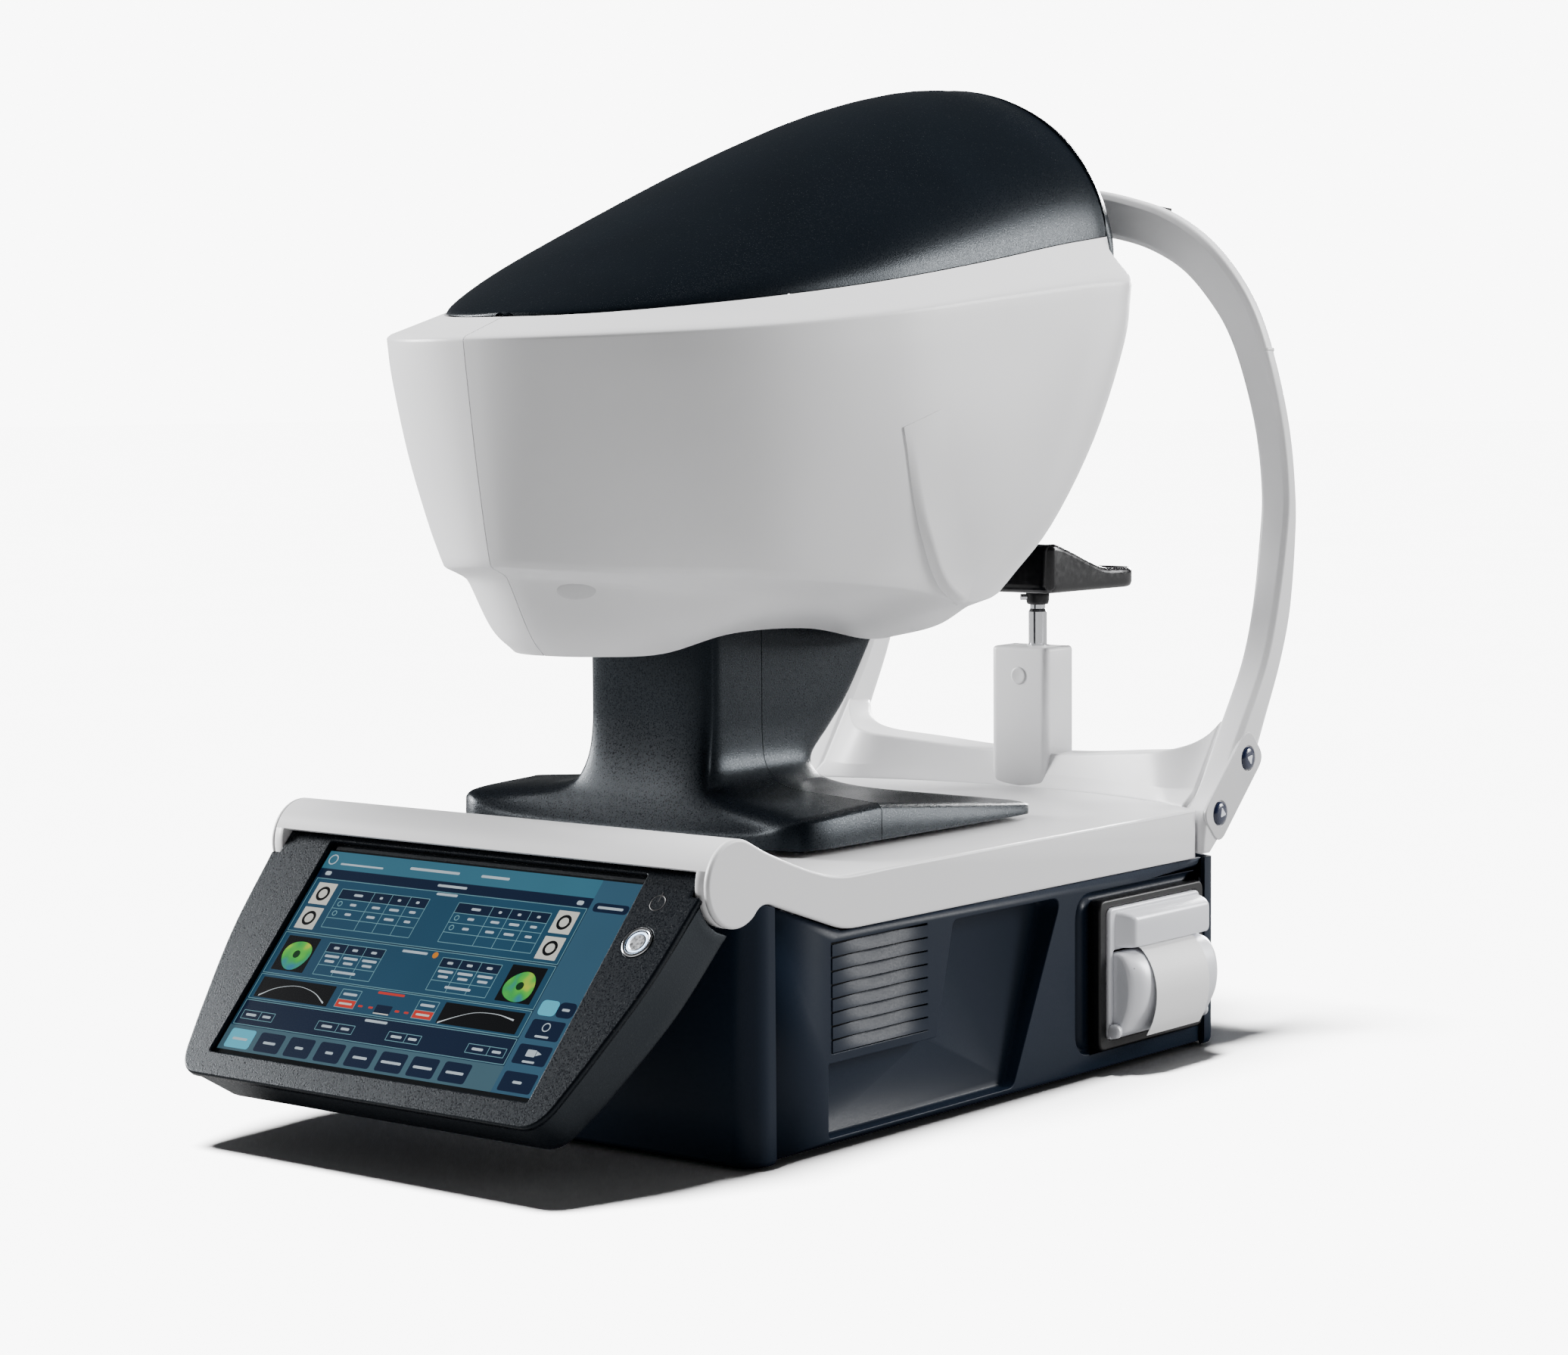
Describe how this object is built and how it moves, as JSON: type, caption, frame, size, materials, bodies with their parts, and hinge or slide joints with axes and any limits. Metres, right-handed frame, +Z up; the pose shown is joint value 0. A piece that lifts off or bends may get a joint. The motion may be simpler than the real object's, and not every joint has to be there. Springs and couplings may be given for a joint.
{
  "type": "autorefractor",
  "caption": "Desk-top eye refractor: measuring head on a driven pedestal, white base with tilting touch screen and receipt printer, and a face frame with a motor-driven chin rest.",
  "frame": {"origin": "centre of the whole object's bounding box, on the table", "axes": "+X to the printer side, +Y towards the patient, +Z up"},
  "size_m": [0.3593, 0.6613, 0.577],
  "materials": {
    "white_shell": "satin white moulding",
    "dark_texture": "fine sparkling textured charcoal",
    "base_blue": "satin blue-grey moulding",
    "screen_case": "textured blue-black moulding",
    "black_plastic": "black moulding",
    "black_pad": "soft black pad",
    "rubber": "black rubber",
    "display": "lit display glass",
    "window": "dark coated window",
    "lens": "coated lens",
    "chrome": "polished rod",
    "screw_steel": "bright steel",
    "motor": "dark painted metal",
    "cast_alloy": "machined alloy",
    "board": "green circuit board",
    "psu_steel": "plated steel box",
    "silver_case": "silver-grey moulding",
    "paper": "thermal paper",
    "navy": "navy button",
    "ring_white": "white light ring",
    "plug_grey": "grey plug",
    "button_metal": "spun metal",
    "led_ring": "metal ring with pale blue light"
  },
  "bodies": {
    "base": {"base_housing": "base_blue", "top_cover": "white_shell", "face_frame": "white_shell", "rear_panel": "black_plastic", "chassis_plate": "cast_alloy", "rubber_feet": "rubber", "power_inlet": "black_plastic", "power_supply": "psu_steel", "main_board": "board", "fan_frame": "black_plastic", "hinge_shaft": "screw_steel", "y_rails": "chrome", "y_motor": "motor", "forehead_rest": "black_pad", "button_panel": "plug_grey", "chin_lift_cover": "white_shell", "cover_screw": "screw_steel", "chin_motor": "motor", "printer_frame": "black_plastic", "printer_body": "silver_case", "printer_hinge": "silver_case", "paper_spindle": "black_plastic"},
    "fan": {"fan_rotor": "black_plastic"},
    "y_lead_screw": {"y_screw": "screw_steel"},
    "y_stage": {"y_carriage": "cast_alloy", "x_rails": "chrome", "x_motor": "motor"},
    "x_lead_screw": {"x_screw": "screw_steel"},
    "x_stage": {"x_carriage": "cast_alloy", "lift_shafts": "chrome", "lift_motor": "motor", "pedestal_front_cover": "dark_texture", "pedestal_rear_cover": "dark_texture"},
    "lift_lead_screw": {"lift_screw": "screw_steel"},
    "head": {"head_chassis": "cast_alloy", "head_left_shell": "white_shell", "head_right_shell": "white_shell", "head_top_cover": "dark_texture", "head_rear_cover": "dark_texture", "head_plug": "plug_grey", "ring_target": "ring_white", "window_glass": "window", "optics_barrel": "motor", "objective_lens": "lens", "wavefront_camera": "motor"},
    "screen": {"screen_back": "screen_case", "screen_bezel": "screen_case", "display_panel": "display", "button_ring": "led_ring"},
    "power_key": {"power_button": "button_metal"},
    "up_key": {"up_button": "navy"},
    "down_key": {"down_button": "navy"},
    "chin_unit": {"chin_rod": "chrome", "rod_collar": "chrome", "chin_rest": "black_pad"},
    "chin_lead_screw": {"chin_screw": "screw_steel"},
    "door": {"printer_door": "silver_case", "receipt": "paper"},
    "platen": {"platen_roller": "rubber"},
    "roll": {"paper_roll": "paper"}
  },
  "joints": [
    {"name": "stage_fore_aft", "type": "slide", "parent": "base", "child": "y_stage", "axis": [0, 1, 0], "range_m": [-0.035, 0.005]},
    {"name": "stage_sideways", "type": "slide", "parent": "y_stage", "child": "x_stage", "axis": [1, 0, 0], "range_m": [-0.015, 0.069]},
    {"name": "head_lift", "type": "slide", "parent": "x_stage", "child": "head", "axis": [0, 0, 1], "range_m": [-0.015, 0.02]},
    {"name": "y_screw_spin", "type": "hinge", "parent": "base", "child": "y_lead_screw", "pos_m": [0.0009, -0.0126, 0.056], "axis": [0, 1, 0], "range_deg": [-1300, 200]},
    {"name": "x_screw_spin", "type": "hinge", "parent": "y_stage", "child": "x_lead_screw", "pos_m": [0.0009, -0.0126, 0.084], "axis": [1, 0, 0], "range_deg": [-560, 2500]},
    {"name": "lift_screw_spin", "type": "hinge", "parent": "x_stage", "child": "lift_lead_screw", "pos_m": [-0.0261, -0.0126, 0.22], "axis": [0, 0, 1], "range_deg": [-560, 740]},
    {"name": "fan_spin", "type": "hinge", "parent": "base", "child": "fan", "pos_m": [-0.1411, -0.0986, 0.08], "axis": [1, 0, 0], "continuous": true},
    {"name": "screen_tilt", "type": "hinge", "parent": "base", "child": "screen", "pos_m": [0.0009, -0.2126, 0.1494], "axis": [1, 0, 0], "range_deg": [-13, 6]},
    {"name": "power_press", "type": "slide", "parent": "screen", "child": "power_key", "axis": [0, 0.742, -0.6704], "range_m": [0, 0.0015], "stiffness_N_per_m": 600},
    {"name": "up_press", "type": "slide", "parent": "base", "child": "up_key", "axis": [-1, 0, 0], "range_m": [0, 0.002], "stiffness_N_per_m": 500},
    {"name": "down_press", "type": "slide", "parent": "base", "child": "down_key", "axis": [-1, 0, 0], "range_m": [0, 0.002], "stiffness_N_per_m": 500},
    {"name": "chin_lift", "type": "slide", "parent": "base", "child": "chin_unit", "axis": [0, 0, 1], "range_m": [-0.025, 0.025]},
    {"name": "chin_screw_spin", "type": "hinge", "parent": "base", "child": "chin_lead_screw", "pos_m": [0.0009, 0.2794, 0.178], "axis": [0, 0, 1], "range_deg": [-920, 920]},
    {"name": "door_hinge", "type": "hinge", "parent": "base", "child": "door", "pos_m": [0.1634, 0.1664, 0.0262], "axis": [0, 1, 0], "range_deg": [0, 45]},
    {"name": "platen_spin", "type": "hinge", "parent": "base", "child": "platen", "pos_m": [0.1529, 0.1674, 0.072], "axis": [0, 1, 0], "continuous": true},
    {"name": "roll_spin", "type": "hinge", "parent": "base", "child": "roll", "pos_m": [0.1309, 0.1674, 0.048], "axis": [0, 1, 0], "continuous": true}
  ],
  "couplings": [
    {"joint": "y_screw_spin", "follows": "stage_fore_aft", "rad_per_m": 628.32},
    {"joint": "x_screw_spin", "follows": "stage_sideways", "rad_per_m": 628.32},
    {"joint": "lift_screw_spin", "follows": "head_lift", "rad_per_m": 628.32},
    {"joint": "chin_screw_spin", "follows": "chin_lift", "rad_per_m": 628.32}
  ]
}
